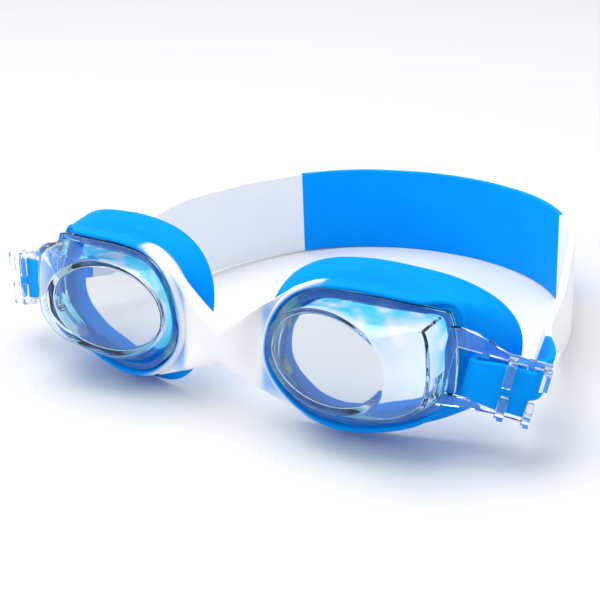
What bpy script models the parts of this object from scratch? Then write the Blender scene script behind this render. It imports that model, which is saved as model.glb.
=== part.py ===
"""Swim goggles with an adjustable silicone strap, resting on their lower edges.

+Z is up, -Y is the way the lenses face, +X is to the right as seen from the front, and the
origin is under the middle of the whole object. Lengths in the constants are in millimetres.
"""
import math

import bmesh
import bpy
from mathutils import Matrix, Vector

MM = 0.001
GAP = 0.3                       # clearance left where two pieces meet

# Overall placing
Y_SHIFT = -62.55                # puts the origin under the middle of the object
LENS_CENTRE = (36.0, 3.6, 21.37)  # centre of the right lens flange before the shift
LENS_CANT = 8.4                 # sweep of each lens towards the temple, degrees
LENS_LEAN = 5.0                 # backward lean of each lens, degrees

# Lens: base flange, cup wall and flat oval front
FLANGE_POINTS = [(-22.1, 1.0), (-20.6, 7.6), (-16.6, 13.6), (-10.0, 17.3), (0.0, 18.1), (12.0, 17.5),
                 (23.4, 16.8), (25.4, 15.2), (26.6, 9.0), (27.0, 1.0), (25.6, -5.4), (18.0, -11.4),
                 (8.0, -15.2), (-2.0, -16.5), (-11.0, -14.6), (-18.0, -9.4), (-21.4, -4.2)]
LENS_MIDDLE = (2.0, 1.0)        # what the outlines are drawn in towards
FLANGE_THICK = 1.8
FLANGE_LEDGE = 2.0              # width of the flange outside the cup wall
LENS_WALL = 1.6
FRONT_CENTRE = (-3.2, 3.0)
FRONT_HALF = (17.6, 12.9)
FRONT_HEIGHT = 9.0              # height of the front face above the flange at its middle
FRONT_SLOPE = 0.272             # rise of the front face towards the temple
TEMPLE_GROWTH = (2.0, 21.0)     # the cup turns boxy between these distances
TEMPLE_HEIGHT = 9.2             # height and inset of the boxy end's shoulder
TEMPLE_INSET = 3.5

# Side wing with the strap clip, in its own plane: a runs outwards, b upwards, c forwards
WING_CENTRE = (72.1, 11.4, 21.17)
WING_SWEEP = 23.7
WING_LEAN = 8.2
WING_DROOP = 11.0
WING_THICK = 2.2
WING_TOP = [(-14.6, 10.4), (-12.5, 10.6), (-8.6, 10.4), (-5.0, 9.6), (-2.2, 8.5), (0.2, 7.6)]
CLIP_REAR_TOP = 10.8
CLIP_REAR_LOW = 9.0
BAR_IN = 5.9                    # inner edge of the clip's top and bottom bars
BAR_OUT = 7.6
WING_LOW = [(-7.0, -8.2), (-13.6, -9.4)]
WINDOW_FRONT = -11.9
POST_A = -4.8                   # middle of the post that the strap turns round
POST_HALF = 0.9
REAR_BAR = (5.2, 6.9)
FINGER_C = (3.8, 5.3)           # depth of the hook fingers in front of the strap
HOOK_OUT = 7.5
HOOK_IN = 6.0
HOOK_ROOT = 0.3                 # the stems start this far in front of the wing's middle
HOOKS = [(0.4, 2.6, HOOK_OUT, 0.6), (8.8, 10.7, HOOK_OUT, 2.0),
         (0.6, 2.8, -HOOK_OUT, -1.5), (7.0, 8.9, -HOOK_OUT, -1.2)]

# Strap
STRAP_THICK = 1.8
NARROW_HALF = 5.6
LAYER_C = 2.6                   # mid-thickness of each strap layer from the wing's middle plane
FOLD_HALF = 4.4                 # half width of the strap where it is drawn round the post
FOLD_ENTRY = (-2.6, 5.3)        # place and half width where each layer of the fold starts to narrow
FOLD_TURN_HALF = 5.0            # half width where the turn begins
FOLD_STEPS = 8
NECK_STRAIGHT = 2.6             # the neck leaves the clip straight as far as here
TAIL_TOP_END = 8.6
TAIL_LOW_END = 6.6
TAIL_START = 0.0                # joint between the fold and the tail's free part
NECK_START = 0.0

# Stations of the strap's free run: x, y, height of the middle, half width, outward lean in degrees
NECK_RUN = [(77.9, 19.2, 19.6, 5.6, 12.0), (78.4, 23.6, 19.5, 5.6, 15.0), (76.2, 28.8, 19.4, 5.6, 17.0),
            (73.3, 33.6, 19.3, 5.6, 17.0)]
SIDE_RUN = [(73.12, 33.92, 19.3, 5.6, 17.0), (69.6, 43.0, 19.0, 5.7, 15.0), (68.2, 50.0, 18.6, 6.3, 13.0),
            (66.8, 57.0, 17.9, 8.0, 10.0), (65.2, 64.0, 16.7, 10.8, 6.0), (63.2, 72.0, 15.4, 13.1, 2.0),
            (60.8, 81.0, 14.9, 13.6, 0.0), (57.4, 91.5, 14.7, 13.6, 0.0), (52.6, 101.5, 14.5, 13.6, 0.0),
            (46.6, 110.6, 14.3, 13.6, 0.0)]
BACK_RUN = [(46.1, 111.1, 14.3, 13.6, 0.0), (38.6, 118.7, 14.1, 13.6, 0.0), (29.5, 124.9, 14.0, 13.6, 0.0),
            (19.8, 129.0, 13.8, 13.6, 0.0), (9.8, 131.4, 13.8, 13.6, 0.0), (0.0, 132.1, 13.8, 13.6, 0.0)]
STRAP_RISE = -0.2               # sets the free run down on its lower edge

# Eye seal: outer surface of the skirt as rings of the flange outline, spread to the face rim
RING_WALL = 1.5                 # silicone outside the lens flange
RING_FRONT = 0.5
RING_DROP = (17.0, 24.0)        # the ring sinks between these distances, to clear the wing
RING_SUNK = 3.6
SEAT_SUNK = 1.6
RING_ROOT = 6.5                 # depth at which the skirt starts to flare
THROAT_INSET = 4.3              # the throat's straight wall inside the flange outline
THROAT_DEPTH = 8.2
LIP_WIDTH = 1.0
LIP_CROWN = 0.35
RING_FLARE = 0.12               # how far the ring has opened towards the rim at its root
SKIRT_STEPS = ((0.45, 0.16), (0.8, 0.1), (1.0, 0.0))    # depth share and extra opening
RIM_POINTS = [(-26.2, 5.0, 9.6), (-24.6, 11.6, 10.8), (-19.8, 17.8, 11.8), (-11.6, 22.2, 12.0),
              (0.0, 23.9, 11.8), (12.0, 23.2, 12.4), (23.0, 21.2, 13.6), (31.6, 17.2, 15.2),
              (36.6, 12.0, 16.6), (38.4, 6.0, 17.4), (37.6, -1.0, 17.0), (33.6, -7.2, 15.4),
              (26.6, -12.2, 13.0), (17.0, -16.6, 10.6), (6.0, -19.6, 8.8), (-5.0, -20.8, 8.0),
              (-14.4, -18.8, 7.6), (-21.4, -12.8, 7.6), (-25.6, -4.4, 8.0)]

# Nose bridge: a saddle drawn in from the two rings to its narrow middle
BRIDGE_HALF_HEIGHT = 6.0
BRIDGE_MIDDLE = (0.6, 20.3)     # y and z of its middle
BRIDGE_SEAT = -2.6              # depth at which it meets the ring wall
BRIDGE_REACH = -9.0             # it covers the ring wall on the nose side of this distance
BRIDGE_EASE = 1.9               # how soon it reaches its forward place
BRIDGE_RISE = 1.1               # how soon it reaches its height at the middle
BRIDGE_EDGE = 0.12              # how far its section thins towards the upper and lower edges
BRIDGE_SECTIONS = [(0.0, 3.4), (0.15, 4.0), (0.35, 4.6), (0.6, 5.0), (0.8, 5.0), (1.0, 5.0)]

SEGMENTS = 56                   # points on each closed lens outline

COLOURS = {"clear": (0.86, 0.92, 0.96), "blue": (0.0, 0.33, 0.95), "white": (0.93, 0.93, 0.94)}


def clear_scene():
    for item in list(bpy.data.objects):
        bpy.data.objects.remove(item, do_unlink=True)


def new_collection(name):
    group = bpy.data.collections.new(name)
    bpy.context.scene.collection.children.link(group)
    return group


def make_material(name, colour, roughness, transmission=0.0):
    material = bpy.data.materials.new(name)
    material.use_nodes = True
    shader = material.node_tree.nodes["Principled BSDF"]
    shader.inputs["Base Color"].default_value = (*colour, 1.0)
    shader.inputs["Roughness"].default_value = roughness
    shader.inputs["Metallic"].default_value = 0.0
    shader.inputs["Transmission Weight"].default_value = transmission
    return material


def place(bm, group, name, material, mirrored=False):
    """Turn a bmesh in millimetres into an object in metres, mirrored to the left if asked."""
    scale = Matrix.Diagonal((-MM if mirrored else MM, MM, MM, 1.0))
    bmesh.ops.transform(bm, matrix=scale @ Matrix.Translation((0.0, Y_SHIFT, 0.0)), verts=bm.verts)
    if mirrored:
        bmesh.ops.reverse_faces(bm, faces=bm.faces)
    mesh = bpy.data.meshes.new(name)
    bm.to_mesh(mesh)
    bm.free()
    mesh.materials.append(material)
    mesh.set_sharp_from_angle(angle=math.radians(40))
    item = bpy.data.objects.new(name, mesh)
    group.objects.link(item)
    return item


def smooth_loop(points, count):
    """Evenly spaced points on a closed curve through hand-chosen points of two or three values."""
    knots = [Vector(point) for point in points]
    fine = []
    steps = 24
    for index in range(len(knots)):
        p0, p1, p2, p3 = (knots[(index + offset) % len(knots)] for offset in (-1, 0, 1, 2))
        for step in range(steps):
            t = step / steps
            fine.append(0.5 * ((2 * p1) + (p2 - p0) * t + (2 * p0 - 5 * p1 + 4 * p2 - p3) * t ** 2
                               + (3 * p1 - p0 - 3 * p2 + p3) * t ** 3))
    return resample(fine, count)


def resample(points, count):
    lengths = [(points[(i + 1) % len(points)] - points[i]).length for i in range(len(points))]
    total = sum(lengths)
    result = []
    index, passed = 0, 0.0
    for number in range(count):
        target = total * number / count
        while passed + lengths[index] < target:
            passed += lengths[index]
            index += 1
        part = (target - passed) / lengths[index]
        result.append(points[index].lerp(points[(index + 1) % len(points)], part))
    return result


def offset_loop(loop, distance):
    """Move a flat clockwise outline outwards by a distance."""
    moved = []
    for index, point in enumerate(loop):
        along = (loop[(index + 1) % len(loop)] - loop[index - 1]).normalized()
        moved.append(point + Vector((-along.y, along.x)) * distance)
    return moved


def drawn_in(loop, distance):
    """Move an outline's points towards the lens middle, which keeps a tight corner free of folds."""
    centre = Vector(LENS_MIDDLE)
    return [point + (centre - point).normalized() * distance for point in loop]


def lens_frame():
    lean = Matrix.Rotation(math.radians(-LENS_LEAN), 4, "X")
    turn = lean @ Matrix.Rotation(math.radians(LENS_CANT), 4, "Z")
    axes = Matrix(((1, 0, 0, 0), (0, 0, -1, 0), (0, 1, 0, 0), (0, 0, 0, 1)))
    return Matrix.Translation(LENS_CENTRE) @ turn @ axes


def wing_frame():
    """Frame whose x runs outwards along the strap, y up and z forwards out of the wing."""
    lean = Matrix.Rotation(math.radians(-WING_LEAN), 4, "X")
    turn = lean @ Matrix.Rotation(math.radians(WING_SWEEP), 4, "Z")
    axes = Matrix(((1, 0, 0, 0), (0, 0, -1, 0), (0, 1, 0, 0), (0, 0, 0, 1)))
    droop = Matrix.Rotation(math.radians(-WING_DROOP), 4, "Z")
    return Matrix.Translation(WING_CENTRE) @ turn @ axes @ droop


def bridge_loops(bm, rings, closed=True):
    """Faces between successive rings of vertices."""
    for low, high in zip(rings, rings[1:]):
        count = len(low)
        for index in range(count if closed else count - 1):
            after = (index + 1) % count
            bm.faces.new((low[index], low[after], high[after], high[index]))


def ring_verts(bm, points):
    return [bm.verts.new(point) for point in points]


def outward(bm):
    """Point every face outwards, also on a half body left open on the plane of symmetry."""
    bmesh.ops.recalc_face_normals(bm, faces=bm.faces)
    if bm.calc_volume(signed=True) < 0.0:
        bmesh.ops.reverse_faces(bm, faces=bm.faces)
    return bm


def eased(value, low, high):
    """Smooth step from 0 to 1 between two distances."""
    share = max(0.0, min(1.0, (value - low) / (high - low)))
    return share * share * (3.0 - 2.0 * share)


def front_height(u):
    return FRONT_HEIGHT + FRONT_SLOPE * (u - FRONT_CENTRE[0])


def front_oval(flange, shrink):
    """Points of the front oval, each facing the flange point of the same number."""
    points = []
    for point in flange:
        angle = math.atan2((point.y - FRONT_CENTRE[1]) / FRONT_HALF[1],
                           (point.x - FRONT_CENTRE[0]) / FRONT_HALF[0])
        u = FRONT_CENTRE[0] + (FRONT_HALF[0] - shrink) * math.cos(angle)
        v = FRONT_CENTRE[1] + (FRONT_HALF[1] - shrink) * math.sin(angle)
        points.append(Vector((u, v)))
    return points


def shoulder(flange, shrink):
    """Ring between the flange and the front: plain on the nose side, boxy at the temple."""
    near = drawn_in(flange, FLANGE_LEDGE + shrink)
    far = drawn_in(flange, TEMPLE_INSET + shrink)
    points = []
    for point, low, end, top in zip(flange, near, far, front_oval(flange, shrink)):
        plain = Vector((low.x, low.y, 0.0)).lerp(Vector((top.x, top.y, front_height(top.x) - shrink)), 0.6)
        square = Vector((end.x, end.y, TEMPLE_HEIGHT - shrink))
        points.append(plain.lerp(square, eased(point.x, *TEMPLE_GROWTH)))
    return points


def lens_cup():
    """Closed cup: flange, outer wall, front face, inner face and inner wall."""
    flange = smooth_loop(FLANGE_POINTS, SEGMENTS)
    base = drawn_in(flange, FLANGE_LEDGE)
    inner_base = drawn_in(flange, FLANGE_LEDGE + LENS_WALL)
    front = front_oval(flange, 0.0)
    inner_front = front_oval(flange, LENS_WALL)
    bm = bmesh.new()
    rings = [ring_verts(bm, [(p.x, p.y, front_height(p.x) - LENS_WALL) for p in inner_front]),
             ring_verts(bm, shoulder(flange, LENS_WALL)),
             ring_verts(bm, [(p.x, p.y, -FLANGE_THICK) for p in inner_base]),
             ring_verts(bm, [(p.x, p.y, -FLANGE_THICK) for p in flange]),
             ring_verts(bm, [(p.x, p.y, 0.0) for p in flange]),
             ring_verts(bm, [(p.x, p.y, 0.0) for p in base]),
             ring_verts(bm, shoulder(flange, 0.0)),
             ring_verts(bm, [(p.x, p.y, front_height(p.x)) for p in front])]
    bridge_loops(bm, rings)
    bm.faces.new(rings[0])
    bm.faces.new(rings[-1])
    outward(bm)
    bmesh.ops.transform(bm, matrix=lens_frame(), verts=bm.verts)
    return bm


def wing_plate():
    """Flat wing: arms from the flange, post, bars of the clip and a bar between the strap's layers."""
    outline = list(WING_TOP)
    outline += [(CLIP_REAR_TOP, BAR_OUT), (CLIP_REAR_TOP, BAR_IN), (REAR_BAR[1], BAR_IN),
                (REAR_BAR[1], -BAR_IN), (CLIP_REAR_LOW, -BAR_IN), (CLIP_REAR_LOW, -BAR_OUT),
                (0.0, -BAR_OUT)] + WING_LOW
    front_window = [(WINDOW_FRONT, BAR_IN), (WINDOW_FRONT, -BAR_IN),
                    (POST_A - POST_HALF, -BAR_IN), (POST_A - POST_HALF, BAR_IN)]
    rear_window = [(POST_A + POST_HALF, BAR_IN), (POST_A + POST_HALF, -BAR_IN),
                   (REAR_BAR[0], -BAR_IN), (REAR_BAR[0], BAR_IN)]
    curve = bpy.data.curves.new("wing_outline", "CURVE")
    curve.dimensions = "2D"
    curve.fill_mode = "BOTH"
    curve.extrude = WING_THICK / 2
    for shape in (outline, front_window, rear_window):
        spline = curve.splines.new("POLY")
        spline.points.add(len(shape) - 1)
        for point, (a, b) in zip(spline.points, shape):
            point.co = (a, b, 0.0, 1.0)
        spline.use_cyclic_u = True
    holder = bpy.data.objects.new("wing_outline", curve)
    bpy.context.scene.collection.objects.link(holder)
    bpy.context.view_layer.update()
    mesh = bpy.data.meshes.new_from_object(holder.evaluated_get(bpy.context.evaluated_depsgraph_get()))
    bpy.data.objects.remove(holder, do_unlink=True)
    bm = bmesh.new()
    bm.from_mesh(mesh)
    bmesh.ops.remove_doubles(bm, verts=bm.verts, dist=0.001)
    outward(bm)
    bmesh.ops.transform(bm, matrix=wing_frame(), verts=bm.verts)
    return bm


def hook(start, end, root, tip):
    """L-shaped hook: a stem out of a bar and a finger in front of the strap."""
    bm = bmesh.new()
    side = 1.0 if root > 0 else -1.0
    inner = side * HOOK_IN
    section = [(root, HOOK_ROOT), (inner, HOOK_ROOT), (inner, FINGER_C[0]),
               (tip, FINGER_C[0]), (tip, FINGER_C[1]), (root, FINGER_C[1])]
    near = ring_verts(bm, [(start, b, c) for b, c in section])
    far = ring_verts(bm, [(end, b, c) for b, c in section])
    bridge_loops(bm, [near, far])
    bm.faces.new(near)
    bm.faces.new(far)
    outward(bm)
    bmesh.ops.transform(bm, matrix=wing_frame(), verts=bm.verts)
    return bm


def build_lens(group, cutters, material, side):
    """One moulding: the cup, the wing and its four hooks, joined into a single body."""
    mirrored = side == "left"
    name = "lens_" + side
    lens = place(lens_cup(), group, name, material, mirrored)
    extras = [wing_plate()] + [hook(*values) for values in HOOKS]
    for number, bm in enumerate(extras):
        tool = place(bm, cutters, "%s_join_%d" % (name, number), material, mirrored)
        tool.hide_render = True
        tool.display_type = "WIRE"
        union = lens.modifiers.new("join_%d" % number, "BOOLEAN")
        union.operation = "UNION"
        union.solver = "EXACT"
        union.object = tool
    return lens


def ring_front(u):
    return RING_FRONT + (-RING_SUNK - RING_FRONT) * eased(u, *RING_DROP)


def seat_floor(u):
    return -FLANGE_THICK - GAP - SEAT_SUNK * eased(u, *RING_DROP)


def seal_rings():
    """Rings of the skirt's outer surface, front to back, in the lens frame."""
    flange = smooth_loop(FLANGE_POINTS, SEGMENTS)
    rim = smooth_loop(RIM_POINTS, SEGMENTS)
    wall = offset_loop(flange, GAP + RING_WALL)
    rings = [[Vector((p.x, p.y, ring_front(p.x))) for p in wall],
             [Vector((p.x, p.y, -RING_ROOT * 0.68)) for p in wall]]
    root = [Vector((p.x, p.y, 0.0)).lerp(Vector((q.x, q.y, 0.0)), RING_FLARE)
            for p, q in zip(wall, rim)]
    rings.append([Vector((p.x, p.y, -RING_ROOT)) for p in root])
    for share, bulge in SKIRT_STEPS:
        ring = []
        for start, end in zip(root, rim):
            point = Vector((start.x, start.y)).lerp(Vector((end.x, end.y)), min(1.0, share + bulge))
            ring.append(Vector((point.x, point.y, -RING_ROOT - (end.z - RING_ROOT) * share)))
        rings.append(ring)
    return flange, rings


def build_seal(group, material, side):
    """Silicone skirt: a ring round the lens flange, a seat behind it and a broad face cushion."""
    flange, outer = seal_rings()
    seat = offset_loop(flange, GAP)
    throat = drawn_in(flange, THROAT_INSET)
    centre = Vector((*LENS_MIDDLE, 0.0))
    lip, inner_edge, cushion = [], [], []
    for point, edge in zip(outer[-1], throat):
        inward = (centre - Vector((point.x, point.y, 0.0))).normalized()
        lip.append(point + inward * LIP_WIDTH + Vector((0.0, 0.0, -LIP_CROWN)))
        inner_edge.append(Vector((edge.x, edge.y, max(-THROAT_DEPTH, point.z + LIP_WIDTH))))
        cushion.append(lip[-1].lerp(inner_edge[-1], 0.5) + Vector((0.0, 0.0, -LIP_CROWN)))
    bm = bmesh.new()
    rings = [ring_verts(bm, [(p.x, p.y, ring_front(p.x)) for p in seat]),
             ring_verts(bm, [(p.x, p.y, seat_floor(p.x)) for p in seat]),
             ring_verts(bm, [(p.x, p.y, seat_floor(p.x)) for p in throat]),
             ring_verts(bm, inner_edge), ring_verts(bm, cushion), ring_verts(bm, lip)]
    rings += [ring_verts(bm, row) for row in reversed(outer)]
    bridge_loops(bm, rings + [rings[0]])
    outward(bm)
    bmesh.ops.transform(bm, matrix=lens_frame(), verts=bm.verts)
    return place(bm, group, "eye_seal_" + side, material, side == "left")


def bridge_middle_line(point, height, share, frame):
    """Spot on the saddle's middle surface between the ring wall and the plane of symmetry."""
    start = frame @ Vector((point.x, point.y, BRIDGE_SEAT))
    end = Vector((0.0, BRIDGE_MIDDLE[0], BRIDGE_MIDDLE[1] + height))
    spot = start.lerp(end, share)
    spot.y = start.y + (end.y - start.y) * (1.0 - (1.0 - share) ** BRIDGE_EASE)
    spot.z = start.z + (end.z - start.z) * (1.0 - (1.0 - share) ** BRIDGE_RISE)
    return spot


def build_bridge(group, material):
    """Saddle between the two eye seals, spread over the nose side of each ring."""
    flange = smooth_loop(FLANGE_POINTS, SEGMENTS)
    wall = offset_loop(flange, RING_WALL + 2 * GAP)
    side_points = sorted((p for p in wall if p.x < BRIDGE_REACH), key=lambda p: p.y)
    last = len(side_points) - 1
    frame = lens_frame()
    bm = bmesh.new()
    rings = []
    for share, thick in BRIDGE_SECTIONS:
        front, back = [], []
        for number, point in enumerate(side_points):
            level = 2.0 * number / last - 1.0
            spot = bridge_middle_line(point, level * BRIDGE_HALF_HEIGHT, share, frame)
            half = thick / 2 * math.sqrt(max(BRIDGE_EDGE, 1.0 - level ** 4))
            front.append(spot - Vector((0.0, half, 0.0)))
            back.append(spot + Vector((0.0, half, 0.0)))
        rings.append(ring_verts(bm, front + back[::-1]))
    bridge_loops(bm, rings)
    edge = rings[0]
    for number in range(last):
        bm.faces.new((edge[number], edge[number + 1], edge[-2 - number], edge[-1 - number]))
    outward(bm)
    item = place(bm, group, "nose_bridge", material)
    mirror = item.modifiers.new("mirror", "MIRROR")
    mirror.merge_threshold = 0.0001
    return item


def ribbon(stations, name, group, material, mirrored, both_sides=False):
    """Strap section: a rectangle carried along stations of middle, height direction and half width."""
    bm = bmesh.new()
    rings = []
    spots = [Vector(station[0]) for station in stations]
    for index, (spot, up, half) in enumerate(stations):
        before = spots[max(index - 1, 0)]
        after = spots[min(index + 1, len(spots) - 1)]
        along = (after - before).normalized()
        if both_sides and abs(spot[0]) < 1e-6:
            along = Vector((-1.0, 0.0, 0.0))
        side = along.cross(up).normalized()
        high = Vector(spot) + up * half
        low = Vector(spot) - up * half
        thick = side * STRAP_THICK / 2
        rings.append(ring_verts(bm, [low - thick, low + thick, high + thick, high - thick]))
    bridge_loops(bm, rings)
    bm.faces.new(rings[0])
    bm.faces.new(rings[-1])
    outward(bm)
    return place(bm, group, name, material, mirrored)


def run_stations(run):
    """Stations of the free run, with the strap leaning outwards by the given angle."""
    stations = []
    for index, (x, y, z, half, lean) in enumerate(run):
        before, after = run[max(index - 1, 0)], run[min(index + 1, len(run) - 1)]
        along = Vector((after[0] - before[0], after[1] - before[1], 0.0)).normalized()
        outside = Vector((along.y, -along.x, 0.0))
        up = Vector((0.0, 0.0, math.cos(math.radians(lean)))) + outside * math.sin(math.radians(lean))
        stations.append((Vector((x, y, z + STRAP_RISE)), up, half))
    return stations


def smooth_run(run, steps):
    """Extra stations on a smooth curve through a run's own stations."""
    rows = []
    for index in range(len(run) - 1):
        p1, p2 = Vector(run[index]), Vector(run[index + 1])
        p0 = Vector(run[index - 1]) if index else 2 * p1 - p2
        p3 = Vector(run[index + 2]) if index + 2 < len(run) else 2 * p2 - p1
        for step in range(steps):
            t = step / steps
            rows.append(0.5 * ((2 * p1) + (p2 - p0) * t + (2 * p0 - 5 * p1 + 4 * p2 - p3) * t ** 2
                               + (3 * p1 - p0 - 3 * p2 + p3) * t ** 3))
    rows.append(Vector(run[-1]))
    return [tuple(row) for row in rows]


def wing_station(a, c, half):
    frame = wing_frame()
    up = (frame.to_3x3() @ Vector((0.0, 1.0, 0.0))).normalized()
    return frame @ Vector((a, 0.0, c)), up, half


def build_fold(group, material, side):
    """Short piece of strap that turns round the post, drawn narrower where it turns."""
    stations = [wing_station(TAIL_START - GAP / 2, LAYER_C, NARROW_HALF),
                wing_station(FOLD_ENTRY[0], LAYER_C, FOLD_ENTRY[1])]
    for step in range(FOLD_STEPS + 1):
        angle = math.pi / 2 + math.pi * step / FOLD_STEPS
        a = POST_A + LAYER_C * math.cos(angle)
        c = LAYER_C * math.sin(angle)
        narrow = math.sin(math.pi * step / FOLD_STEPS)
        stations.append(wing_station(a, c, FOLD_TURN_HALF + (FOLD_HALF - FOLD_TURN_HALF) * narrow))
    stations += [wing_station(FOLD_ENTRY[0], -LAYER_C, FOLD_ENTRY[1]),
                 wing_station(NECK_START - GAP / 2, -LAYER_C, NARROW_HALF)]
    return ribbon(stations, "strap_fold_" + side, group, material, side == "left")


def build_tail(group, material, side):
    """Free end of the strap under the hooks, cut at a slant."""
    bm = bmesh.new()
    front = TAIL_START + GAP / 2
    low_c, high_c = LAYER_C - STRAP_THICK / 2, LAYER_C + STRAP_THICK / 2
    outline = [(front, -NARROW_HALF), (TAIL_LOW_END, -NARROW_HALF), (TAIL_TOP_END, NARROW_HALF),
               (front, NARROW_HALF)]
    near = ring_verts(bm, [(a, b, low_c) for a, b in outline])
    far = ring_verts(bm, [(a, b, high_c) for a, b in outline])
    bridge_loops(bm, [near, far])
    bm.faces.new(near)
    bm.faces.new(far)
    outward(bm)
    bmesh.ops.transform(bm, matrix=wing_frame(), verts=bm.verts)
    return place(bm, group, "strap_tail_" + side, material, side == "left")


def build_neck(group, material, side):
    """Inner layer of the strap, from inside the clip to the start of the white part."""
    stations = [wing_station(a, -LAYER_C, NARROW_HALF) for a in (NECK_START + GAP / 2, NECK_STRAIGHT)]
    stations += run_stations(smooth_run(NECK_RUN, 2))
    return ribbon(stations, "strap_neck_" + side, group, material, side == "left")


def build_side(group, material, side):
    stations = run_stations(smooth_run(SIDE_RUN, 2))
    return ribbon(stations, "strap_side_" + side, group, material, side == "left")


def build_back(group, material):
    half_run = smooth_run(BACK_RUN, 2)
    mirrored = [(-x, y, z, half, lean) for x, y, z, half, lean in reversed(half_run[:-1])]
    return ribbon(run_stations(half_run + mirrored), "strap_back", group, material, False, both_sides=True)


def main():
    clear_scene()
    parts = new_collection("swim_goggles")
    cutters = new_collection("cutters")
    clear = make_material("clear_polycarbonate", COLOURS["clear"], 0.05, 0.9)
    blue = make_material("blue_silicone", COLOURS["blue"], 0.45)
    white = make_material("white_silicone", COLOURS["white"], 0.45)
    for side in ("right", "left"):
        build_lens(parts, cutters, clear, side)
        build_seal(parts, blue, side)
        build_fold(parts, blue, side)
        build_tail(parts, blue, side)
        build_neck(parts, blue, side)
        build_side(parts, white, side)
    build_bridge(parts, white)
    build_back(parts, blue)


main()
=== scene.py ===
"""Swim goggles: two clear lenses in soft blue seals, a white nose bridge and a blue and white strap."""
import math

import bmesh
import bpy
from mathutils import Matrix, Vector


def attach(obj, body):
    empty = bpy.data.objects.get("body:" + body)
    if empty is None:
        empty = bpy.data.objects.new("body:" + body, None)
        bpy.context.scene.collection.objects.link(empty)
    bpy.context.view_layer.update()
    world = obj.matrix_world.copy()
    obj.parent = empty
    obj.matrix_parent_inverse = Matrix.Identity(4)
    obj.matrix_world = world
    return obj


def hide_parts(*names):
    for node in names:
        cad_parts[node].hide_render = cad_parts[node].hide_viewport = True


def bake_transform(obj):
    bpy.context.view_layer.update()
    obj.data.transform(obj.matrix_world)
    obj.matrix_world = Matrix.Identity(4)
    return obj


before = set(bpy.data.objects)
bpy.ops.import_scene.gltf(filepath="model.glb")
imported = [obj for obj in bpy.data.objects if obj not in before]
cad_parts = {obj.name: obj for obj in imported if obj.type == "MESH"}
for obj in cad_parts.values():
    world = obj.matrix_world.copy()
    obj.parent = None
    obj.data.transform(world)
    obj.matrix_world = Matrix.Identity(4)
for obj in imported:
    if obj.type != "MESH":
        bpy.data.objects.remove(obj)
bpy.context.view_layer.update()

# ---------------------------------------------------------------------------------------------
# Clear lenses. Each is one injection moulding of polycarbonate: a flange that sits in the seal,
# a cup with a flat oval front and a boxy temple end, and a side wing that ends in the strap clip
# with its four hooks. The mould is polished, so every corner is a small bright radius.
MM = 0.001
FORWARD = -62.55                # the goggles' own y starts here, in front of the footprint's middle
SIDES = ("right", "left")
LENS_CENTRE = (36.0, 3.6, 21.37)
LENS_CANT = 8.4                 # sweep towards the temple, degrees
LENS_LEAN = 5.0                 # backward lean, degrees
FLANGE_OUTLINE = [(-22.1, 1.0), (-20.6, 7.6), (-16.6, 13.6), (-10.0, 17.3), (0.0, 18.1), (12.0, 17.5),
                  (23.4, 16.8), (25.4, 15.2), (26.6, 9.0), (27.0, 1.0), (25.6, -5.4), (18.0, -11.4),
                  (8.0, -15.2), (-2.0, -16.5), (-11.0, -14.6), (-18.0, -9.4), (-21.4, -4.2)]
LENS_MIDDLE = Vector((2.0, 1.0))
FLANGE_THICK = 1.8
FLANGE_LEDGE = 2.0
LENS_WALL = 1.5
FRONT_MIDDLE = (-3.2, 3.0)
FRONT_HALF = (17.6, 12.9)
FRONT_HEIGHT = 9.0
FRONT_SLOPE = 0.272             # the front face rises towards the temple
TEMPLE_START, TEMPLE_END = 2.0, 21.0    # the boxy end grows out between these distances
TEMPLE_HEIGHT = 9.2
TEMPLE_INSET = 3.5
LENS_EDGE = 0.38                # radius on the moulding's corners
LENS_CORNER = 32                # edges sharper than this many degrees stay crisp
SHOULDER_SHARE = 0.6            # the plain shoulder lies this far from the foot to the front
SHOULDER_LIFT = 0.7
SHOULDER_WALL = 0.8             # share of the wall's thickness kept at the boxy end's shoulder
ROUND_COUNT = 96                # points round each lens outline

WING_CENTRE = (72.1, 11.4, 21.17)
WING_SWEEP = 23.7
WING_LEAN = 8.2
WING_DROOP = 11.0
WING_THICK = 2.2
WING_EDGE = 0.35
BAR_IN, BAR_OUT = 5.9, 7.6      # inner and outer edges of the clip's two bars
POST = (-5.7, -3.9)             # the strap turns round the post between these distances
WING_OUTLINE = [(-14.6, 10.4), (-12.5, 10.6), (-8.6, 10.4), (-5.0, 9.6), (-2.2, 8.5), (0.2, 7.6),
                (10.8, BAR_OUT), (10.8, BAR_IN), (6.9, BAR_IN), (6.9, -BAR_IN), (9.0, -BAR_IN),
                (9.0, -BAR_OUT), (0.0, -BAR_OUT), (-7.0, -8.2), (-13.6, -9.4)]
WINDOWS = [(-11.9, POST[0]), (POST[1], 5.2)]
HOOK_OUT, HOOK_IN, HOOK_ROOT = 7.5, 6.0, 0.3
HOOK_EDGE = 0.28
FINGER = (3.8, 5.3)             # the hooks' fingers lie this far in front of the wing's middle
# Painted shade: the front window is tinted grey to stand for the shade seen through the cup behind it.
FRONT_PAINTED_SHADE = (0.74, 0.765, 0.785, 1.0)
WALL_CLEAR = (0.96, 0.98, 1.0, 1.0)
# Painted refraction: the walls are tinted blue where the blue seal would show through them.
PAINTED_SEAL_BLUE = (0.10, 0.74, 1.0, 1.0)
STREAK_SIZE = 5.0               # the painted blue of the seal seen through the walls comes in streaks of this size
STREAK_LEVELS = (0.30, 0.50)
POLISH, HAZE, HAZE_SIZE = 0.012, 0.02, 1.4
RIPPLE_SIZE = 9.0
RIPPLE = (0.05, 0.12)           # the ripple's strength and its depth
OVAL_FLAT = (0.97, 1.0)         # the front face's painted shade fades out here, in shares of the oval's half width
OVAL_RIM = (0.99, 1.04)         # and the painted blue of the seal seen through the walls comes in here
FRONT_BELOW = (LENS_WALL + 0.1, LENS_WALL + 0.6)    # the same two, by depth under the front face
WALL_BELOW = (LENS_WALL + 0.3, LENS_WALL + 1.2)
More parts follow.
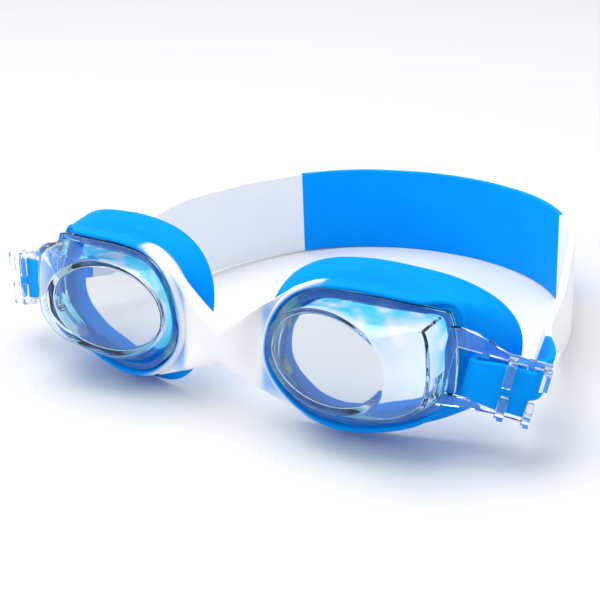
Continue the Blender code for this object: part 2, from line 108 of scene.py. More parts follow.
TEMPLE_SIDE, TEMPLE_UPPER = (8.0, 16.0), (3.0, 6.0) # the boxy end is clearer beyond these
TEMPLE_CLEAR = 0.85
BLUE_END = (25.0, 27.0)         # the wing beyond these carries none of the painted blue
HOOKS = [(0.4, 2.6, 1, 0.6), (8.8, 10.7, 1, 2.0), (0.6, 2.8, -1, -1.5), (7.0, 8.9, -1, -1.2)]


class Wire:
    """A node's output that can be used in sums: each operator adds its Math node."""

    def __init__(self, finish, socket):
        self.finish = finish
        self.socket = socket

    def sum(self, operation, first, second):
        return self.finish.node("ShaderNodeMath", {"operation": operation}, {0: first, 1: second})

    def __add__(self, other):
        return self.sum("ADD", self, other)

    def __radd__(self, other):
        return self.sum("ADD", other, self)

    def __mul__(self, other):
        return self.sum("MULTIPLY", self, other)

    def __rmul__(self, other):
        return self.sum("MULTIPLY", other, self)


class Finish:
    """A Principled material and the one way in which nodes are added to it."""

    def __init__(self, name, **plain):
        self.material = bpy.data.materials.new(name)
        self.material.use_nodes = True
        self.tree = self.material.node_tree
        self.shader = self.tree.nodes["Principled BSDF"]
        self.place = Wire(self, self.tree.nodes.new("ShaderNodeTexCoord").outputs["Object"])
        for key, value in plain.items():
            self.shader.inputs[key.replace("_", " ")].default_value = value

    def node(self, kind, settings, values, output=0):
        made = self.tree.nodes.new(kind)
        for key, value in settings.items():
            setattr(made, key, value)
        for key, value in values.items():
            self.feed(made.inputs[key], value)
        return Wire(self, made.outputs[output])

    def feed(self, socket, value):
        if isinstance(value, Wire):
            self.tree.links.new(value.socket, socket)
        else:
            socket.default_value = value

    def noise(self, size_mm, detail=2.0):
        values = {"Vector": self.place, "Scale": 1.0 / (size_mm * MM), "Detail": detail}
        return self.node("ShaderNodeTexNoise", {}, values)

    def mix(self, share, first, second):
        """A colour mix, whose colours go into sockets 6 and 7 and come out of output 2."""
        settings = {"data_type": "RGBA"}
        return self.node("ShaderNodeMix", settings, {0: share, 6: first, 7: second}, output=2)

    def bump(self, height, strength, depth_mm):
        values = {"Height": height, "Strength": strength, "Distance": depth_mm * MM}
        return self.node("ShaderNodeBump", {}, values)


def clear_polycarbonate():
    finish = Finish("clear_polycarbonate", Transmission_Weight=1.0, IOR=1.5, Specular_IOR_Level=0.18)
    front = finish.node("ShaderNodeAttribute", {"attribute_name": "flat_front"}, {}, output=2)
    wall = finish.node("ShaderNodeAttribute", {"attribute_name": "painted_seal_blue_share"}, {}, output=2)
    cloud = finish.noise(STREAK_SIZE, detail=1.0)
    streak = finish.node("ShaderNodeMapRange", {}, {0: cloud, 1: STREAK_LEVELS[0], 2: STREAK_LEVELS[1]})
    # The walls' blue streaks are painted refraction of the blue seal behind them.
    sides = finish.mix(wall * streak, WALL_CLEAR, PAINTED_SEAL_BLUE)
    # The front window's grey tint is painted shade seen through the cup.
    finish.feed(finish.shader.inputs["Base Color"], finish.mix(front, sides, FRONT_PAINTED_SHADE))
    finish.feed(finish.shader.inputs["Roughness"], POLISH + HAZE * finish.noise(HAZE_SIZE))
    finish.feed(finish.shader.inputs["Normal"], finish.bump(finish.noise(RIPPLE_SIZE), *RIPPLE))
    return finish.material


def smooth_loop(points, count):
    """Evenly spaced points on a closed curve through points of two or three values."""
    knots = [Vector(point) for point in points]
    fine = []
    steps = 24
    for index, start in enumerate(knots):
        before, after = knots[index - 1], knots[(index + 1) % len(knots)]
        beyond = knots[(index + 2) % len(knots)]
        for step in range(steps):
            t = step / steps
            fine.append(0.5 * (2 * start + (after - before) * t
                               + (2 * before - 5 * start + 4 * after - beyond) * t ** 2
                               + (3 * start - before - 3 * after + beyond) * t ** 3))
    lengths = [(fine[(i + 1) % len(fine)] - fine[i]).length for i in range(len(fine))]
    spaced = []
    index, passed = 0, 0.0
    for number in range(count):
        target = sum(lengths) * number / count
        while passed + lengths[index] < target:
            passed += lengths[index]
            index += 1
        share = (target - passed) / lengths[index]
        spaced.append(fine[index].lerp(fine[(index + 1) % len(fine)], share))
    return spaced


def grown(loop, distance):
    """A flat clockwise outline moved outwards by a distance."""
    moved = []
    for index, point in enumerate(loop):
        along = (loop[(index + 1) % len(loop)] - loop[index - 1]).normalized()
        moved.append(point + Vector((-along.y, along.x)) * distance)
    return moved


def drawn_in(loop, distance):
    """Points moved towards the lens middle, which keeps the tight corner free of folds."""
    return [point + (LENS_MIDDLE - point).normalized() * distance for point in loop]


def ease(value, low, high):
    share = max(0.0, min(1.0, (value - low) / (high - low)))
    return share * share * (3.0 - 2.0 * share)


def facing(centre, sweep, lean, droop=0.0):
    """Frame of a moulding: x outwards, y up and z out of its front."""
    turn = Matrix.Rotation(math.radians(-lean), 4, "X") @ Matrix.Rotation(math.radians(sweep), 4, "Z")
    upright = Matrix(((1, 0, 0, 0), (0, 0, -1, 0), (0, 1, 0, 0), (0, 0, 0, 1)))
    return Matrix.Translation(centre) @ turn @ upright @ Matrix.Rotation(math.radians(-droop), 4, "Z")


LENS_FRAME = facing(LENS_CENTRE, LENS_CANT, LENS_LEAN)
WING_FRAME = facing(WING_CENTRE, WING_SWEEP, WING_LEAN, WING_DROOP)


def in_lens(spot):
    """A finished vertex's place in the right lens's own frame, in millimetres."""
    return LENS_FRAME.inverted() @ Vector((abs(spot.x) / MM, spot.y / MM - FORWARD, spot.z / MM))


def add_ring(bm, points):
    """A closed ring of edges through the points."""
    verts = [bm.verts.new(point) for point in points]
    return [bm.edges.new((verts[i - 1], verts[i])) for i in range(len(verts))]


def draw_out(bm, rings):
    """Pull a ring of edges out from place to place, and return the edges of every ring."""
    edges = add_ring(bm, rings[0])
    following = edges[1:] + edges[:1]
    verts = [next(v for v in edge.verts if v in after.verts) for edge, after in zip(edges, following)]
    every = [edges]
    for points in rings[1:]:
        pulled = bmesh.ops.extrude_edge_only(bm, edges=edges)["geom"]
        fresh = {part for part in pulled if isinstance(part, bmesh.types.BMVert)}
        verts = [next(e.other_vert(v) for e in v.link_edges if e.other_vert(v) in fresh) for v in verts]
        for vert, point in zip(verts, points):
            vert.co = point
        edges = [part for part in pulled
                 if isinstance(part, bmesh.types.BMEdge) and fresh.issuperset(part.verts)]
        every.append(edges)
    return every


def settle(bm, name, side, material, corner=40.0):
    """Close the shape up, mirror it to its side, and make it an object in place."""
    mirror = -1.0 if side == "left" else 1.0
    bmesh.ops.remove_doubles(bm, verts=bm.verts, dist=0.0005)
    place = Matrix.Diagonal((MM * mirror, MM, MM, 1.0)) @ Matrix.Translation((0.0, FORWARD, 0.0))
    bmesh.ops.transform(bm, matrix=place, verts=bm.verts)
    bmesh.ops.recalc_face_normals(bm, faces=bm.faces)
    if bm.calc_volume(signed=True) < 0.0:
        bmesh.ops.reverse_faces(bm, faces=bm.faces)
    mesh = bpy.data.meshes.new(name)
    bm.to_mesh(mesh)
    bm.free()
    mesh.materials.append(material)
    mesh.shade_smooth()
    mesh.set_sharp_from_angle(angle=math.radians(corner))
    item = bpy.data.objects.new(name, mesh)
    bpy.context.scene.collection.objects.link(item)
    return item


def front_rise(u):
    return FRONT_HEIGHT + FRONT_SLOPE * (u - FRONT_MIDDLE[0])


def lens_rings():
    """The cup's rings from the inside of its front, round the flange, to the outside of its front."""
    flange = smooth_loop(FLANGE_OUTLINE, ROUND_COUNT)
    foot = drawn_in(flange, FLANGE_LEDGE)
    foot_inside = drawn_in(flange, FLANGE_LEDGE + LENS_WALL)
    box = drawn_in(flange, TEMPLE_INSET)
    box_inside = drawn_in(flange, TEMPLE_INSET + LENS_WALL)
    outer, inner, shoulder, shoulder_inside = [], [], [], []
    for point, low, low_in, end, end_in in zip(flange, foot, foot_inside, box, box_inside):
        angle = math.atan2((point.y - FRONT_MIDDLE[1]) / FRONT_HALF[1],
                           (point.x - FRONT_MIDDLE[0]) / FRONT_HALF[0])
        turn = Vector((math.cos(angle), math.sin(angle)))
        for row, shrink, drop in ((outer, 0.0, 0.0), (inner, LENS_WALL, LENS_WALL)):
            spot = Vector((FRONT_MIDDLE[0] + (FRONT_HALF[0] - shrink) * turn.x,
                           FRONT_MIDDLE[1] + (FRONT_HALF[1] - shrink) * turn.y))
            row.append(Vector((spot.x, spot.y, front_rise(spot.x) - drop)))
        boxy = ease(point.x, TEMPLE_START, TEMPLE_END)
        for row, near, far, top, drop in ((shoulder, low, end, outer[-1], 0.0),
                                          (shoulder_inside, low_in, end_in, inner[-1],
                                           LENS_WALL * SHOULDER_WALL)):
            plain = Vector((near.x, near.y, 0.0)).lerp(top, SHOULDER_SHARE)
            plain += Vector((0.0, 0.0, SHOULDER_LIFT))
            square = Vector((far.x, far.y, TEMPLE_HEIGHT - drop))
            row.append(plain.lerp(square, boxy))
    back = [Vector((p.x, p.y, -FLANGE_THICK)) for p in flange]
    back_inside = [Vector((p.x, p.y, -FLANGE_THICK)) for p in foot_inside]
    lip = [Vector((p.x, p.y, 0.0)) for p in flange]
    base = [Vector((p.x, p.y, 0.0)) for p in foot]
    return [inner, shoulder_inside, back_inside, back, lip, base, shoulder, outer]


def lens_cup():
    bm = bmesh.new()
    rings = draw_out(bm, lens_rings())
    bmesh.ops.contextual_create(bm, geom=rings[0])
    bmesh.ops.contextual_create(bm, geom=rings[-1])
    corners = [edge for ring in rings for edge in ring]
    bmesh.ops.bevel(bm, geom=corners, affect="EDGES", offset=LENS_EDGE, segments=3, profile=0.5, material=-1)
    bmesh.ops.transform(bm, matrix=LENS_FRAME, verts=bm.verts)
    return bm


def wing_plate():
    """The wing's arms, post and bars: a flat outline with two windows, given its thickness."""
    outline = bpy.data.curves.new("wing_outline", "CURVE")
    outline.dimensions = "2D"
    outline.fill_mode = "BOTH"
    outline.extrude = WING_THICK / 2 - WING_EDGE
    outline.bevel_depth = WING_EDGE
    outline.bevel_resolution = 1
    outline.offset = -WING_EDGE
    holes = [[(near, BAR_IN), (near, -BAR_IN), (far, -BAR_IN), (far, BAR_IN)] for near, far in WINDOWS]
    for shape in [WING_OUTLINE] + holes:
        spline = outline.splines.new("POLY")
        spline.points.add(len(shape) - 1)
        for point, (a, b) in zip(spline.points, shape):
            point.co = (a, b, 0.0, 1.0)
        spline.use_cyclic_u = True
    drawn = bpy.data.objects.new("wing_outline", outline)
    bpy.context.scene.collection.objects.link(drawn)
    mesh = bpy.data.meshes.new_from_object(drawn.evaluated_get(bpy.context.evaluated_depsgraph_get()))
    bpy.data.objects.remove(drawn, do_unlink=True)
    bm = bmesh.new()
    bm.from_mesh(mesh)
    bmesh.ops.remove_doubles(bm, verts=bm.verts, dist=0.001)
    bmesh.ops.transform(bm, matrix=WING_FRAME, verts=bm.verts)
    return bm


def wing_hook(start, end, upwards, tip):
    """An L of a stem out of the bar and a finger that lies in front of the strap."""
    root, inner = upwards * HOOK_OUT, upwards * HOOK_IN
    bm = bmesh.new()
    corners = [(root, HOOK_ROOT), (inner, HOOK_ROOT), (inner, FINGER[0]),
               (tip, FINGER[0]), (tip, FINGER[1]), (root, FINGER[1])]
    face = bmesh.ops.contextual_create(bm, geom=add_ring(bm, [(start, b, c) for b, c in corners]))
    pulled = bmesh.ops.extrude_face_region(bm, geom=face["faces"], use_keep_orig=True)
    moved = [part for part in pulled["geom"] if isinstance(part, bmesh.types.BMVert)]
    bmesh.ops.translate(bm, vec=(end - start, 0.0, 0.0), verts=moved)
    bmesh.ops.bevel(bm, geom=bm.edges[:], affect="EDGES", offset=HOOK_EDGE, segments=2, profile=0.5,
                    material=-1)
    bmesh.ops.transform(bm, matrix=WING_FRAME, verts=bm.verts)
    return bm


def mould_lens(side, material):
    """Join the cup, the wing and the hooks into one body, as they come out of the mould."""
    lens = settle(lens_cup(), "clear_lens_" + side, side, material)
    joined = [wing_plate()] + [wing_hook(*hook) for hook in HOOKS]
    tools = [settle(bm, "join", side, material) for bm in joined]
    for tool in tools:
        union = lens.modifiers.new("join", "BOOLEAN")
        union.operation = "UNION"
        union.solver = "EXACT"
        union.object = tool
    mesh = bpy.data.meshes.new_from_object(lens.evaluated_get(bpy.context.evaluated_depsgraph_get()))
    lens.modifiers.clear()
    lens.data = mesh
    for tool in tools:
        bpy.data.objects.remove(tool, do_unlink=True)
    mesh.shade_smooth()
    mesh.set_sharp_from_angle(angle=math.radians(LENS_CORNER))
    # Where the painted refraction of the blue seal shows on the walls.
    wall = mesh.attributes.new("painted_seal_blue_share", "FLOAT", "POINT")
    # Where the front window's painted shade lies.
    front = mesh.attributes.new("flat_front", "FLOAT", "POINT")
    for vert, besides, flat in zip(mesh.vertices, wall.data, front.data):
        spot = in_lens(vert.co)
        reach = math.hypot((spot.x - FRONT_MIDDLE[0]) / FRONT_HALF[0],
                           (spot.y - FRONT_MIDDLE[1]) / FRONT_HALF[1])
        depth = front_rise(spot.x) - spot.z
        temple = ease(spot.x, *TEMPLE_SIDE) * ease(spot.z, *TEMPLE_UPPER)
        wall_share = max(ease(reach, *OVAL_RIM), ease(depth, *WALL_BELOW))
        besides.value = wall_share * (1.0 - TEMPLE_CLEAR * temple) * (1.0 - ease(spot.x, *BLUE_END))
        flat.value = (1.0 - ease(reach, *OVAL_FLAT)) * (1.0 - ease(depth, *FRONT_BELOW))
    return lens


polycarbonate = clear_polycarbonate()
for side in SIDES:
    lens = mould_lens(side, polycarbonate)
    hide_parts("lens_" + side)
    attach(lens, "front_frame")

# ---------------------------------------------------------------------------------------------
# Eye seals. Each is a ring of soft blue silicone pressed round the lens flange, with a seat behind
# it and a thin skirt that flares out and back to the face. The surface is satin, straight from the mould.
SEAL_GAP = 0.3
RING_WALL = 1.5
RING_FRONT = 0.5
RING_DROP = (17.0, 24.0)        # the ring sinks between these distances, to clear the wing
RING_SUNK = 3.6
SEAT_SUNK = 1.6
RING_ROOT = 6.5
RING_CREASE = 1.1
RING_ROUND = 0.5                # radius of the ring's front corner
RING_UPPER, RING_LOWER, RING_CREASED = 0.35, 0.7, 0.87  # shares of the way down to the root
ROOT_FLARE = 0.1                # the root already leans this share towards the face rim
SEAT_ROUND = 0.4
MOUTH_ROUND = 0.3
CUSHION_STEPS = (0.3, 0.7)
THROAT_INSET = 4.3              # the throat's straight wall inside the flange outline
THROAT_DEPTH = 8.2
LIP_WIDTH = 1.0
LIP_CROWN = 0.35
COVER_REACH = (6.5, 13.0)       # the bridge's white silicone tapers out along the ring between these
COVER_FRONT = -1.0
COVER_OUTSIDE = (0.4, 1.2)      # it starts this far outside the flange
COVER_BLUR = (0.8, 0.9)         # softness of its front and back borders
COVER_TAPER = (2.4, 2.0)        # how much nearer those borders come where it ends
COVER_FULL = 0.35
WHITE = (0.90, 0.905, 0.915, 1.0)
WHITE_SHADE = (0.84, 0.85, 0.87, 1.0)
SKIRT_STEPS = ((0.25, 0.13), (0.45, 0.16), (0.65, 0.15), (0.85, 0.08), (1.0, 0.0))
FACE_RIM = [(-26.2, 5.0, 9.6), (-24.6, 11.6, 10.8), (-19.8, 17.8, 11.8), (-11.6, 22.2, 12.0),
            (0.0, 23.9, 11.8), (12.0, 23.2, 12.4), (23.0, 21.2, 13.6), (31.6, 17.2, 15.2),
            (36.6, 12.0, 16.6), (38.4, 6.0, 17.4), (37.6, -1.0, 17.0), (33.6, -7.2, 15.4),
            (26.6, -12.2, 13.0), (17.0, -16.6, 10.6), (6.0, -19.6, 8.8), (-5.0, -20.8, 8.0),
            (-14.4, -18.8, 7.6), (-21.4, -12.8, 7.6), (-25.6, -4.4, 8.0)]
SILICONE_BLUE = (0.0, 0.335, 0.97, 1.0)
SILICONE_BLUE_DEEP = (0.0, 0.28, 0.92, 1.0)
CLOUD_SIZE = 11.0
SATIN, SATIN_VARIES, SATIN_SIZE = 0.50, 0.16, 4.0
GRAIN_SIZE, WAVE_SIZE, WAVE_SHARE = 0.22, 6.0, 3.0
GRAIN = (0.10, 0.05)            # the grain's strength and its depth


def silicone(name, colour, second, over, layer):
    """Satin moulded silicone; where the named layer covers it or it thins out, another colour shows."""
    finish = Finish(name, IOR=1.41, Specular_IOR_Level=0.05)
    cloud = finish.mix(finish.noise(CLOUD_SIZE, detail=3.0), colour, second)
    share = finish.node("ShaderNodeAttribute", {"attribute_name": layer}, {}, output=2)
    finish.feed(finish.shader.inputs["Base Color"], finish.mix(share, cloud, over))
    satin = SATIN + SATIN_VARIES * finish.noise(SATIN_SIZE, detail=4.0)
    finish.feed(finish.shader.inputs["Roughness"], satin)
    grain = finish.noise(GRAIN_SIZE, detail=1.0)
    surface = grain + WAVE_SHARE * finish.noise(WAVE_SIZE)
    finish.feed(finish.shader.inputs["Normal"], finish.bump(surface, *GRAIN))
    return finish.material


def ring_front(u):
    return RING_FRONT - (RING_SUNK + RING_FRONT) * ease(u, *RING_DROP)


def seat_floor(u):
    return -FLANGE_THICK - SEAL_GAP - SEAT_SUNK * ease(u, *RING_DROP)


def inwards(point):
    return (LENS_MIDDLE.to_3d() - Vector((point.x, point.y, 0.0))).normalized()


def eye_seal(side, material):
    """A closed section carried round the flange: ring, skirt, face lip, cushion, throat and seat."""
    flange = smooth_loop(FLANGE_OUTLINE, ROUND_COUNT)
    rim = smooth_loop(FACE_RIM, ROUND_COUNT)
    wall = grown(flange, SEAL_GAP + RING_WALL)
    shallow = grown(flange, SEAL_GAP + RING_WALL - RING_ROUND)
    crease = grown(flange, SEAL_GAP + RING_WALL - RING_CREASE)
    seat = grown(flange, SEAL_GAP)
    throat = drawn_in(flange, THROAT_INSET)
    root = [Vector((p.x, p.y, -RING_ROOT)).lerp(Vector((q.x, q.y, -RING_ROOT)), ROOT_FLARE)
            for p, q in zip(wall, rim)]
    outer = [[Vector((p.x, p.y, ring_front(p.x))) for p in shallow],
             [Vector((p.x, p.y, ring_front(p.x) - RING_ROUND)) for p in wall],
             [Vector((p.x, p.y, ring_front(p.x) * 0.5 - RING_ROOT * RING_UPPER)) for p in wall],
             [Vector((p.x, p.y, -RING_ROOT * RING_LOWER)) for p in wall],
             [Vector((p.x, p.y, -RING_ROOT * RING_CREASED)) for p in crease],
             root]
    for share, bulge in SKIRT_STEPS:
        row = []
        for start, end in zip(root, rim):
            flat = Vector((start.x, start.y)).lerp(Vector((end.x, end.y)), min(1.0, share + bulge))
            row.append(Vector((flat.x, flat.y, -RING_ROOT - (end.z - RING_ROOT) * share)))
        outer.append(row)
    lip = [p + inwards(p) * LIP_WIDTH + Vector((0.0, 0.0, -LIP_CROWN)) for p in outer[-1]]
    edge = [Vector((p.x, p.y, max(-THROAT_DEPTH, q.z + LIP_WIDTH))) for p, q in zip(throat, outer[-1])]
    cushion = [[p.lerp(q, share) + Vector((0.0, 0.0, -LIP_CROWN)) for p, q in zip(lip, edge)]
               for share in CUSHION_STEPS]
    floor = [[Vector((p.x, p.y, seat_floor(p.x) - SEAT_ROUND)) for p in throat],
             [Vector((p.x, p.y, seat_floor(p.x))) for p in grown(throat, SEAT_ROUND)],
             [Vector((p.x, p.y, seat_floor(p.x))) for p in seat],
             [Vector((p.x, p.y, ring_front(p.x) - MOUTH_ROUND)) for p in seat],
             [Vector((p.x, p.y, ring_front(p.x))) for p in grown(seat, MOUTH_ROUND)]]
    sections = outer + [lip] + cushion + [edge] + floor
    bm = bmesh.new()
    draw_out(bm, sections + [sections[0]])
    bmesh.ops.transform(bm, matrix=LENS_FRAME, verts=bm.verts)
    seal = settle(bm, "silicone_seal_" + side, side, material, corner=80.0)
    cover = seal.data.attributes.new("white_cover", "FLOAT", "POINT")
    for vert, value in zip(seal.data.vertices, cover.data):
        spot = in_lens(vert.co)
        arm = spot.to_2d() - LENS_MIDDLE
        border = max(flange, key=lambda p: (p - LENS_MIDDLE).normalized().dot(arm)) - LENS_MIDDLE
        reach = ease(-spot.x, *COVER_REACH) * ease(arm.length - border.length, *COVER_OUTSIDE)
        front_taper, back_taper = COVER_TAPER[0] * (1.0 - reach), COVER_TAPER[1] * (1.0 - reach)
        front = ease(-spot.z, COVER_FRONT, COVER_FRONT + COVER_BLUR[0] + front_taper)
        back = 1.0 - ease(-spot.z, RING_ROOT - COVER_BLUR[1] - back_taper, RING_ROOT - back_taper)
        value.value = ease(reach, 0.0, COVER_FULL) * front * back
    round_off = seal.modifiers.new("round_off", "SUBSURF")
    round_off.levels = round_off.render_levels = 1
    return seal


blue_silicone = silicone("blue_silicone", SILICONE_BLUE, SILICONE_BLUE_DEEP, WHITE, "white_cover")
for side in SIDES:
    seal = eye_seal(side, blue_silicone)
    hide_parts("eye_seal_" + side)
    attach(seal, "front_frame")

# ---------------------------------------------------------------------------------------------
# Nose bridge. A saddle of white silicone moulded over the nose side of both rings: fingers run
# up and down each ring, and where the white layer thins out the blue ring shows through it.
BRIDGE_HALF_HEIGHT = 6.0
BRIDGE_MIDDLE = (0.6, 20.3)
BRIDGE_SEAT = -2.6
BRIDGE_REACH = -9.0
BRIDGE_EASE = 1.9               # how soon it reaches its forward place
BRIDGE_RISE = 1.1               # how soon it reaches its height at the middle
BRIDGE_STEPS = 14
BRIDGE_THICK = 3.4
BRIDGE_THICKENS = 1.6           # it is this much thicker from the next share of its length on
BRIDGE_THICK_BY = 0.6
BRIDGE_EDGE = 0.05              # least square of the thickness share at the upper and lower edges
THIN_ACROSS, THIN_HEIGHT, THIN_DEPTH = (-24.6, -23.2), (9.0, 15.0), (-2.4, -0.8)
THIN_SHARE = 0.7


def saddle_spot(point, height, share):
    """Middle of the saddle's thickness, between the ring's wall and the middle of the nose."""
    start = LENS_FRAME @ Vector((point.x, point.y, BRIDGE_SEAT))
    end = Vector((0.0, BRIDGE_MIDDLE[0], BRIDGE_MIDDLE[1] + height))
    return Vector((start.x + (end.x - start.x) * share,
                   start.y + (end.y - start.y) * (1.0 - (1.0 - share) ** BRIDGE_EASE),
                   start.z + (end.z - start.z) * (1.0 - (1.0 - share) ** BRIDGE_RISE)))


def nose_bridge(material):
    flange = smooth_loop(FLANGE_OUTLINE, ROUND_COUNT)
    wall = grown(flange, RING_WALL + 2 * SEAL_GAP)
    edge = sorted((p for p in wall if p.x < BRIDGE_REACH), key=lambda p: p.y)
    bm = bmesh.new()
    rings = []
    for step in range(BRIDGE_STEPS + 1):
        share = step / BRIDGE_STEPS
        thick = BRIDGE_THICK + BRIDGE_THICKENS * ease(share, 0.0, BRIDGE_THICK_BY)
        front, back = [], []
        for number, point in enumerate(edge):
            level = 2.0 * number / (len(edge) - 1) - 1.0
            spot = saddle_spot(point, level * BRIDGE_HALF_HEIGHT, share)
            half = Vector((0.0, thick / 2 * math.sqrt(max(BRIDGE_EDGE, 1.0 - level ** 4)), 0.0))
            front.append(spot - half)
            back.append(spot + half)
        rings.append(front + back[::-1])
    rings = draw_out(bm, rings)
    bmesh.ops.contextual_create(bm, geom=rings[0])
    bmesh.ops.mirror(bm, geom=bm.verts[:] + bm.edges[:] + bm.faces[:], axis="X", merge_dist=0.01)
    bridge = settle(bm, "silicone_bridge", "right", material, corner=80.0)
    thin = bridge.data.attributes.new("thin_layer", "FLOAT", "POINT")
    for vert, value in zip(bridge.data.vertices, thin.data):
        spot = in_lens(vert.co)
        beside = ease(spot.x, *THIN_ACROSS) * (1.0 - ease(abs(spot.y), *THIN_HEIGHT))
        value.value = THIN_SHARE * beside * ease(spot.z, *THIN_DEPTH)
    round_off = bridge.modifiers.new("round_off", "SUBSURF")
    round_off.levels = round_off.render_levels = 1
    return bridge


white = silicone("white_silicone", WHITE, WHITE_SHADE, SILICONE_BLUE, "thin_layer")
bridge = nose_bridge(white)
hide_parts("nose_bridge")
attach(bridge, "front_frame")

# ---------------------------------------------------------------------------------------------
# Head strap. One band of silicone moulded in blue and white: each end comes narrow out of the
# clip, widens along the side of the head and meets the broad back. In each clip it turns round the
# post, and its tail is held under the hooks.
STRAP_THICK = 1.8
STRAP_EDGE = 0.45
STRAP_NARROW = 5.6
STRAP_LAYER = 2.6               # each layer in the clip lies this far from the wing's middle
STRAP_SET_DOWN = -0.2
POST_MIDDLE = -4.8
FOLD_HALF = 4.4                 # half height of the strap at the outermost place of its turn
FOLD_ENTRY, FOLD_ENTRY_HALF = -2.6, 5.3
FOLD_TURN_HALF = 5.0            # and where the turn starts and ends
FOLD_TURNS = 12
NECK_STRAIGHT = 1.6
TAIL_STATIONS = (0.0, 1.5, 3.0, 4.5, 6.0, 7.4)
NECK_RUN = [(77.9, 19.2, 19.6, 5.6, 12.0), (78.4, 23.6, 19.5, 5.6, 15.0), (76.2, 28.8, 19.4, 5.6, 17.0),
            (73.2, 33.75, 19.3, 5.6, 17.0)]
SIDE_RUN = [(73.2, 33.75, 19.3, 5.6, 17.0), (69.6, 43.0, 19.0, 5.7, 15.0), (68.2, 50.0, 18.6, 6.3, 13.0),
            (66.8, 57.0, 17.9, 8.0, 10.0), (65.2, 64.0, 16.7, 10.8, 6.0), (63.2, 72.0, 15.4, 13.1, 2.0),
            (60.8, 81.0, 14.9, 13.6, 0.0), (57.4, 91.5, 14.7, 13.6, 0.0), (52.6, 101.5, 14.5, 13.6, 0.0),
            (46.35, 110.85, 14.3, 13.6, 0.0)]
BACK_RUN = [(46.35, 110.85, 14.3, 13.6, 0.0), (38.6, 118.7, 14.1, 13.6, 0.0), (29.5, 124.9, 14.0, 13.6, 0.0),
            (19.8, 129.0, 13.8, 13.6, 0.0), (9.8, 131.4, 13.8, 13.6, 0.0), (0.0, 132.1, 13.8, 13.6, 0.0)]


def strap_section(half):
    """Rounded outline of the strap's section: pairs of thickness and height."""
    outline = []
    for turn, (side, end) in enumerate(((1, 1), (-1, 1), (-1, -1), (1, -1))):
        for step in range(4):
            angle = math.radians(90 * turn + 30 * step)
            outline.append((side * (STRAP_THICK / 2 - STRAP_EDGE) + STRAP_EDGE * math.cos(angle),
                            end * (half - STRAP_EDGE) + STRAP_EDGE * math.sin(angle)))
    return outline


def strap_piece(stations, name, side, material):
    """The section carried along stations of middle, height direction and half height."""
    bm = bmesh.new()
    rings = []
    last = len(stations) - 1
    for index, (spot, up, half) in enumerate(stations):
        before, after = stations[max(index - 1, 0)][0], stations[min(index + 1, last)][0]
        across = (after - before).cross(up).normalized()
        rings.append([spot + across * t + up * h for t, h in strap_section(half)])
    rings = draw_out(bm, rings)
    bmesh.ops.contextual_create(bm, geom=rings[0])
    bmesh.ops.contextual_create(bm, geom=rings[-1])
    return settle(bm, name, side, material, corner=50.0)


def run_stations(run, steps):
    """Stations on a smooth curve through a run's own places, leaning outwards by its angles."""
    knots = [Vector(knot) for knot in run]
    knots = [2 * knots[0] - knots[1]] + knots + [2 * knots[-1] - knots[-2]]
    rows = []
    for p0, p1, p2, p3 in zip(knots, knots[1:], knots[2:], knots[3:]):
        for step in range(steps):
            t = step / steps
            rows.append(0.5 * (2 * p1 + (p2 - p0) * t + (2 * p0 - 5 * p1 + 4 * p2 - p3) * t ** 2
                               + (3 * p1 - p0 - 3 * p2 + p3) * t ** 3))
    rows.append(knots[-2])
    stations = []
    for index, row in enumerate(rows):
        before, after = rows[max(index - 1, 0)], rows[min(index + 1, len(rows) - 1)]
        along = Vector((after[0] - before[0], after[1] - before[1], 0.0)).normalized()
        lean = math.radians(row[4])
        up = Vector((along.y * math.sin(lean), -along.x * math.sin(lean), math.cos(lean)))
        stations.append((Vector((row[0], row[1], row[2] + STRAP_SET_DOWN)), up, row[3]))
    return stations


def clip_station(a, c, half):
    up = (WING_FRAME.to_3x3() @ Vector((0.0, 1.0, 0.0))).normalized()
    return WING_FRAME @ Vector((a, 0.0, c)), up, half


def fold_stations():
    """Round the post, where the strap is drawn narrower, from its front layer to its back layer."""
    stations = [clip_station(0.0, STRAP_LAYER, STRAP_NARROW),
                clip_station(FOLD_ENTRY, STRAP_LAYER, FOLD_ENTRY_HALF)]
    for step in range(FOLD_TURNS + 1):
        angle = math.pi / 2 + math.pi * step / FOLD_TURNS
        narrow = math.sin(math.pi * step / FOLD_TURNS)
        stations.append(clip_station(POST_MIDDLE + STRAP_LAYER * math.cos(angle),
                                     STRAP_LAYER * math.sin(angle),
                                     FOLD_TURN_HALF + (FOLD_HALF - FOLD_TURN_HALF) * narrow))
    return stations + [clip_station(FOLD_ENTRY, -STRAP_LAYER, FOLD_ENTRY_HALF),
                       clip_station(0.0, -STRAP_LAYER, STRAP_NARROW)]


def neck_stations():
    run = run_stations(NECK_RUN, 6)
    start = [clip_station(a, -STRAP_LAYER, STRAP_NARROW) for a in (0.0, NECK_STRAIGHT)]
    return start + run[2:]


def tail_stations():
    return [clip_station(a, STRAP_LAYER, STRAP_NARROW) for a in TAIL_STATIONS]


def back_stations():
    half = run_stations(BACK_RUN, 4)
    other = [(Vector((-spot.x, spot.y, spot.z)), up, height) for spot, up, height in half[-2::-1]]
    return half + other


for side in SIDES:
    fold = strap_piece(fold_stations(), "strap_round_post_" + side, side, blue_silicone)
    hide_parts("strap_fold_" + side)
    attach(fold, "front_frame")

    tail = strap_piece(tail_stations(), "strap_end_" + side, side, blue_silicone)
    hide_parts("strap_tail_" + side)
    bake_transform(tail)

    neck = strap_piece(neck_stations(), "strap_narrow_" + side, side, blue_silicone)
    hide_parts("strap_neck_" + side)
    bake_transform(neck)

    run = strap_piece(run_stations(SIDE_RUN, 5), "strap_white_" + side, side, white)
    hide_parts("strap_side_" + side)
    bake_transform(run)

back = strap_piece(back_stations(), "strap_blue_back", "right", blue_silicone)
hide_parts("strap_back")
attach(back, "head_band")

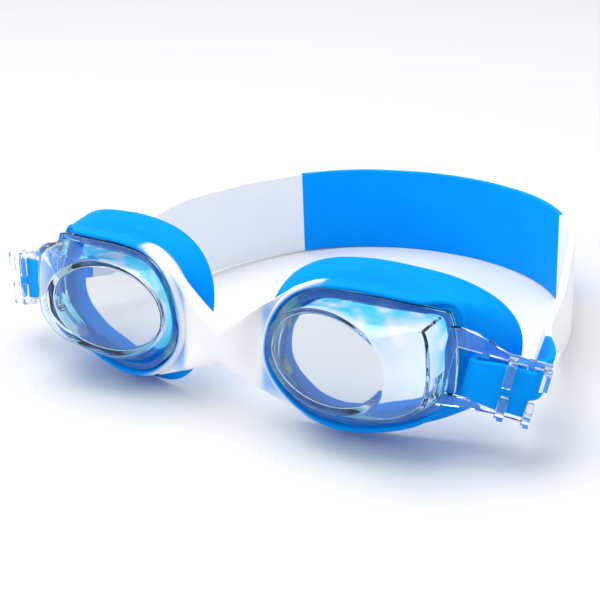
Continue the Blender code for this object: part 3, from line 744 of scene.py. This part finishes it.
# ---------------------------------------------------------------------------------------------
# Studio: a pale floor under the goggles, a large soft light above, a fill from the front left, a
# narrow light from the right, and a long lens from the front right, a little above them.
FLOOR_HALF = 3.0
CAMERA_PLACE = (0.1904, -0.31285, 0.1634)
CAMERA_BACK = Vector((0.50912, -0.76859, 0.38739))
CAMERA_RIGHT = Vector((0.84152, 0.53899, -0.03657))
CAMERA_LENS = 81.0
FLOOR_PALE, FLOOR_SHADE = (0.76, 0.765, 0.77, 1.0), (0.745, 0.75, 0.755, 1.0)
FLOOR_CLOUD = 60.0
LIGHTS = [("top_box", (-0.2, -0.1, 1.0), (0.0, 0.0, 0.0), (1.0, 0.8), 8.5),
          ("left_box", (-1.0, -0.8, 0.6), (0.0, 0.0, 0.02), (0.7, 0.9), 4.5),
          ("right_strip", (0.9, 0.2, 0.5), (0.0, 0.0, 0.02), (0.25, 0.9), 2.2)]
WORLD_COLOUR, WORLD_STRENGTH = (0.95, 0.97, 1.0, 1.0), 0.66


def studio_floor():
    finish = Finish("studio_floor", Roughness=0.6)
    cloud = finish.noise(FLOOR_CLOUD)
    finish.feed(finish.shader.inputs["Base Color"], finish.mix(cloud, FLOOR_PALE, FLOOR_SHADE))
    bm = bmesh.new()
    bmesh.ops.create_grid(bm, x_segments=1, y_segments=1, size=FLOOR_HALF)
    mesh = bpy.data.meshes.new("studio_floor")
    bm.to_mesh(mesh)
    bm.free()
    mesh.materials.append(finish.material)
    floor = bpy.data.objects.new("studio_floor", mesh)
    bpy.context.scene.collection.objects.link(floor)


def soft_light(name, place, target, size, watts):
    light = bpy.data.lights.new(name, "AREA")
    light.shape = "RECTANGLE"
    light.size, light.size_y = size
    light.energy = watts
    lamp = bpy.data.objects.new(name, light)
    lamp.location = place
    lamp.rotation_euler = (Vector(target) - Vector(place)).to_track_quat("-Z", "Y").to_euler()
    bpy.context.scene.collection.objects.link(lamp)


studio_floor()
for light in LIGHTS:
    soft_light(*light)
world = bpy.data.worlds.new("studio_world")
world.use_nodes = True
background = world.node_tree.nodes["Background"]
background.inputs["Color"].default_value = WORLD_COLOUR
background.inputs["Strength"].default_value = WORLD_STRENGTH
bpy.context.scene.world = world
bpy.context.scene.view_settings.view_transform = "Standard"

camera = bpy.data.objects.new("camera", bpy.data.cameras.new("camera"))
camera.data.lens = CAMERA_LENS
camera.data.clip_start = 0.01
up = CAMERA_BACK.cross(CAMERA_RIGHT)
turn = Matrix((CAMERA_RIGHT, up, CAMERA_BACK)).transposed().to_4x4()
camera.matrix_world = Matrix.Translation(CAMERA_PLACE) @ turn
bpy.context.scene.collection.objects.link(camera)
bpy.context.scene.camera = camera
